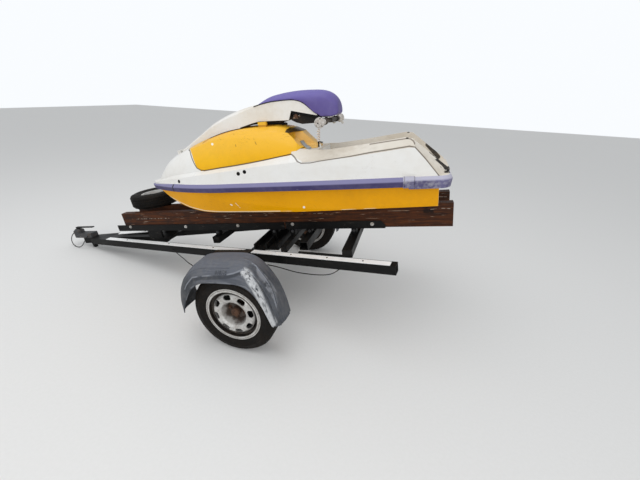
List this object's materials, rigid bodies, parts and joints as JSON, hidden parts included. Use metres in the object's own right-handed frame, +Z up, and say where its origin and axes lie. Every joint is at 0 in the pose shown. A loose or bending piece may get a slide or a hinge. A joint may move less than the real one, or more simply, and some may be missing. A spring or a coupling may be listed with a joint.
{
  "type": "personal watercraft on a trailer",
  "caption": "Stand-up jet craft with a hinged handle pole, resting on wooden bunks of a single-axle trailer with grey mudguards and a flat-lying spare wheel.",
  "frame": {"origin": "bottom centre of the box round the craft and its trailer, on the ground", "axes": "+X forward to the coupling, +Y left, +Z up"},
  "size_m": [3.4782, 1.7, 1.5278],
  "materials": {
    "frame_black": "worn black paint",
    "dark_alloy": "weathered",
    "bumper_purple": "satin rubber",
    "bunk_wood": "stained",
    "pad_purple": "soft vinyl",
    "coupling_grey": "weathered",
    "wire_black": "satin sheath",
    "deck_white": "glossy, aged",
    "engine_alloy": "cast",
    "hull_yellow": "glossy, worn",
    "grip_grey": "weathered rubber",
    "hub_rust": "rusty",
    "pump_alloy": "cast, dull",
    "cord_white": "soft plastic",
    "guard_grey": "weathered",
    "mat_cream": "matt foam",
    "strip_white": "satin",
    "rim_silver": "silver paint",
    "tyre_black": "matt"
  },
  "bodies": {
    "craft_and_trailer": {"axle_beam": "frame_black", "bow_pivot_bracket": "dark_alloy", "bumper_bow": "bumper_purple", "bumper_side_left": "bumper_purple", "bumper_side_right": "bumper_purple", "bumper_stern": "bumper_purple", "bunk_irons": "frame_black", "bunk_left": "bunk_wood", "bunk_right": "bunk_wood", "coupling_head": "coupling_grey", "coupling_lead": "wire_black", "coupling_lever": "frame_black", "crossbar_axle": "frame_black", "crossbar_front": "frame_black", "crossbar_middle": "frame_black", "crossbar_open": "frame_black", "crossbar_rear": "frame_black", "deck_upper": "deck_white", "drawbar": "frame_black", "engine_block": "engine_alloy", "engine_hood": "hull_yellow", "front_plate": "frame_black", "guard_stay_left": "frame_black", "guard_stay_right": "frame_black", "guard_wire": "wire_black", "hull_lower": "hull_yellow", "intake_grate": "pump_alloy", "mudguard_left": "guard_grey", "mudguard_right": "guard_grey", "nose_foot": "frame_black", "pump_housing": "pump_alloy", "rail_left": "frame_black", "rail_mat_left": "mat_cream", "rail_mat_right": "mat_cream", "rail_right": "frame_black", "rail_strips_left": "strip_white", "rail_strips_right": "strip_white", "rail_wire": "wire_black", "ride_plate": "pump_alloy", "spare_rim": "rim_silver", "spare_tyre": "tyre_black", "swing_arm_left": "frame_black", "swing_arm_right": "frame_black", "tray_mat": "mat_cream"},
    "wheel_left": {"tyre_left": "tyre_black", "rim_left": "rim_silver", "hub_left": "hub_rust"},
    "wheel_right": {"tyre_right": "tyre_black", "rim_right": "rim_silver", "hub_right": "hub_rust"},
    "handle_pole": {"pole_arm": "dark_alloy", "pole_cover": "deck_white", "chin_pad": "pad_purple", "steering_plate": "dark_alloy"},
    "steering_bar": {"handlebar": "dark_alloy", "grip_left": "grip_grey", "grip_right": "grip_grey", "lanyard_cord": "cord_white"},
    "pump_nozzle": {"steering_nozzle": "pump_alloy"},
    "pump_impeller": {"impeller": "pump_alloy"}
  },
  "joints": [
    {"name": "wheel_left_spin", "type": "hinge", "parent": "craft_and_trailer", "child": "wheel_left", "pos_m": [-0.5278, 0.739, 0.27], "axis": [0, 1, 0], "continuous": true},
    {"name": "wheel_right_spin", "type": "hinge", "parent": "craft_and_trailer", "child": "wheel_right", "pos_m": [-0.5278, -0.739, 0.27], "axis": [0, 1, 0], "continuous": true},
    {"name": "pole_raise", "type": "hinge", "parent": "craft_and_trailer", "child": "handle_pole", "pos_m": [0.29653, 0, 1.04978], "axis": [0, 1, 0], "range_deg": [0, 70]},
    {"name": "bar_steer", "type": "hinge", "parent": "handle_pole", "child": "steering_bar", "pos_m": [-0.84689, 0, 1.34657], "axis": [0.1499, 0, 0.9887], "range_deg": [-30, 30]},
    {"name": "nozzle_steer", "type": "hinge", "parent": "craft_and_trailer", "child": "pump_nozzle", "pos_m": [-1.529, 0, 0.98374], "axis": [0.1499, 0, 0.9887], "range_deg": [-20, 20]},
    {"name": "impeller_spin", "type": "hinge", "parent": "craft_and_trailer", "child": "pump_impeller", "pos_m": [-1.34511, 0, 0.95585], "axis": [0.9887, 0, -0.1499], "continuous": true}
  ],
  "couplings": [
    {"joint": "nozzle_steer", "follows": "bar_steer", "ratio": -0.6}
  ]
}
